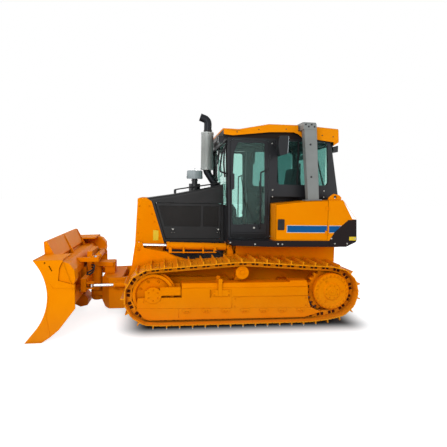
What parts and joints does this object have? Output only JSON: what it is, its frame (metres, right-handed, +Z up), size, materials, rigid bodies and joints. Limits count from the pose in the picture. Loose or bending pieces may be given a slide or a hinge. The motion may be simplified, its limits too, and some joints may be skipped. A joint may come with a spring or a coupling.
{
  "type": "crawler dozer",
  "caption": "Crawler dozer with an enclosed cab, steel tracks and a blade that lifts, angles and tilts.",
  "frame": {"origin": "on the ground, under the middle of the whole machine's length, on its middle plane", "axes": "+X forward, +Y to the machine's left, +Z up"},
  "size_m": [4.0376, 2.76, 2.7823],
  "materials": {
    "orange_paint": "gloss",
    "black_paint": "satin",
    "grey_paint": "satin",
    "roof_panel": "gloss",
    "chrome_rod": "polished",
    "tinted_glass": "clear",
    "seat_fabric": "matte",
    "engine_grey": "matte"
  },
  "bodies": {
    "chassis": {"main_frame": "orange_paint", "drawbar": "orange_paint", "lift_bridge": "orange_paint", "engine": "engine_grey", "radiator_guard": "orange_paint", "grille": "orange_paint", "hood": "black_paint", "exhaust": "grey_paint", "precleaner": "grey_paint", "cab_shell": "black_paint", "cab_roof": "roof_panel", "rops": "grey_paint", "cab_glass": "tinted_glass", "cab_seat": "seat_fabric", "cab_fittings": "black_paint", "track_left": "orange_paint", "track_right": "orange_paint", "track_frame_left": "orange_paint", "track_frame_right": "orange_paint", "idler_rollers_left": "orange_paint", "idler_rollers_right": "orange_paint", "final_drive_left": "orange_paint", "final_drive_right": "orange_paint", "fender_left": "orange_paint", "fender_right": "orange_paint"},
    "c_frame": {"c_frame": "orange_paint"},
    "blade_yoke": {"blade_yoke": "orange_paint"},
    "blade": {"blade": "orange_paint", "cutting_edge": "orange_paint"},
    "tilt_barrel": {"tilt_barrel": "orange_paint"},
    "tilt_rod": {"tilt_rod": "chrome_rod"},
    "lift_barrel_left": {"lift_barrel_left": "orange_paint"},
    "lift_rod_left": {"lift_rod_left": "chrome_rod"},
    "angle_barrel_left": {"angle_barrel_left": "orange_paint"},
    "angle_rod_left": {"angle_rod_left": "chrome_rod"},
    "hood_door_left": {"hood_door_left": "black_paint"},
    "box_door_left": {"box_door_left": "orange_paint"},
    "cab_door_left": {"cab_door_left": "black_paint", "door_glass_left": "tinted_glass"},
    "lift_barrel_right": {"lift_barrel_right": "orange_paint"},
    "lift_rod_right": {"lift_rod_right": "chrome_rod"},
    "angle_barrel_right": {"angle_barrel_right": "orange_paint"},
    "angle_rod_right": {"angle_rod_right": "chrome_rod"},
    "hood_door_right": {"hood_door_right": "black_paint"},
    "box_door_right": {"box_door_right": "orange_paint"},
    "cab_door_right": {"cab_door_right": "black_paint", "door_glass_right": "tinted_glass"}
  },
  "joints": [
    {"name": "blade_lift", "type": "hinge", "parent": "chassis", "child": "c_frame", "pos_m": [-0.304, 0, 0.45], "axis": [0, -1, 0], "range_deg": [-10, 20]},
    {"name": "blade_angle", "type": "hinge", "parent": "c_frame", "child": "blade_yoke", "pos_m": [1.456, 0, 0.45], "axis": [0, 0, 1], "range_deg": [-25, 25]},
    {"name": "blade_tilt", "type": "hinge", "parent": "blade_yoke", "child": "blade", "pos_m": [1.577, 0, 0.46], "axis": [1, 0, 0], "range_deg": [-8, 8]},
    {"name": "lift_barrel_left_swing", "type": "hinge", "parent": "chassis", "child": "lift_barrel_left", "pos_m": [-0.354, 0.503, 0.945], "axis": [0, -1, 0], "range_deg": [-10.6, 20.69]},
    {"name": "lift_rod_left_slide", "type": "slide", "parent": "lift_barrel_left", "child": "lift_rod_left", "axis": [0.9997, 0, 0.0225], "range_m": [-0.1736, 0.0878]},
    {"name": "angle_barrel_left_swing", "type": "hinge", "parent": "c_frame", "child": "angle_barrel_left", "pos_m": [0.591, 0.512, 0.45], "axis": [0, 0, 1], "range_deg": [-0.62, 0.62]},
    {"name": "angle_rod_left_slide", "type": "slide", "parent": "angle_barrel_left", "child": "angle_rod_left", "axis": [0.9991, 0.0421, 0], "range_m": [-0.2335, 0.2335]},
    {"name": "lift_barrel_right_swing", "type": "hinge", "parent": "chassis", "child": "lift_barrel_right", "pos_m": [-0.354, -0.503, 0.945], "axis": [0, -1, 0], "range_deg": [-10.6, 20.69]},
    {"name": "lift_rod_right_slide", "type": "slide", "parent": "lift_barrel_right", "child": "lift_rod_right", "axis": [0.9997, 0, 0.0225], "range_m": [-0.1736, 0.0878]},
    {"name": "angle_barrel_right_swing", "type": "hinge", "parent": "c_frame", "child": "angle_barrel_right", "pos_m": [0.591, -0.512, 0.45], "axis": [0, 0, 1], "range_deg": [-0.62, 0.62]},
    {"name": "angle_rod_right_slide", "type": "slide", "parent": "angle_barrel_right", "child": "angle_rod_right", "axis": [0.9991, -0.0421, 0], "range_m": [-0.2335, 0.2335]},
    {"name": "tilt_barrel_swing", "type": "hinge", "parent": "blade_yoke", "child": "tilt_barrel", "pos_m": [1.428, -0.4, 0.762], "axis": [1, 0, 0], "range_deg": [-3.49, 3.49]},
    {"name": "tilt_rod_slide", "type": "slide", "parent": "tilt_barrel", "child": "tilt_rod", "axis": [0, 1, 0], "range_m": [-0.0441, 0.0441]},
    {"name": "cab_door_left_hinge", "type": "hinge", "parent": "chassis", "child": "cab_door_left", "pos_m": [-0.831, 0.774, 1.7], "axis": [0, 0, 1], "range_deg": [0, 85]},
    {"name": "hood_door_left_hinge", "type": "hinge", "parent": "chassis", "child": "hood_door_left", "pos_m": [0.196, 0.392, 1.533], "axis": [1, 0, 0], "range_deg": [0, 75]},
    {"name": "box_door_left_hinge", "type": "hinge", "parent": "chassis", "child": "box_door_left", "pos_m": [-1.556, 1.019, 1.312], "axis": [0, 0, 1], "range_deg": [0, 100]},
    {"name": "cab_door_right_hinge", "type": "hinge", "parent": "chassis", "child": "cab_door_right", "pos_m": [-0.831, -0.774, 1.7], "axis": [0, 0, -1], "range_deg": [0, 85]},
    {"name": "hood_door_right_hinge", "type": "hinge", "parent": "chassis", "child": "hood_door_right", "pos_m": [0.196, -0.392, 1.533], "axis": [-1, 0, 0], "range_deg": [0, 75]},
    {"name": "box_door_right_hinge", "type": "hinge", "parent": "chassis", "child": "box_door_right", "pos_m": [-1.556, -1.019, 1.312], "axis": [0, 0, -1], "range_deg": [0, 100]}
  ],
  "couplings": [
    {"joint": "lift_barrel_left_swing", "follows": "blade_lift", "ratio": 1.0097},
    {"joint": "lift_rod_left_slide", "follows": "blade_lift", "m_per_rad": -0.4917},
    {"joint": "angle_barrel_left_swing", "follows": "blade_angle", "ratio": 0.015},
    {"joint": "angle_rod_left_slide", "follows": "blade_angle", "m_per_rad": -0.5305},
    {"joint": "lift_barrel_right_swing", "follows": "blade_lift", "ratio": 1.0097},
    {"joint": "lift_rod_right_slide", "follows": "blade_lift", "m_per_rad": -0.4917},
    {"joint": "angle_barrel_right_swing", "follows": "blade_angle", "ratio": 0.015},
    {"joint": "angle_rod_right_slide", "follows": "blade_angle", "m_per_rad": 0.5305},
    {"joint": "tilt_barrel_swing", "follows": "blade_tilt", "ratio": 0.4113},
    {"joint": "tilt_rod_slide", "follows": "blade_tilt", "m_per_rad": -0.3017}
  ]
}
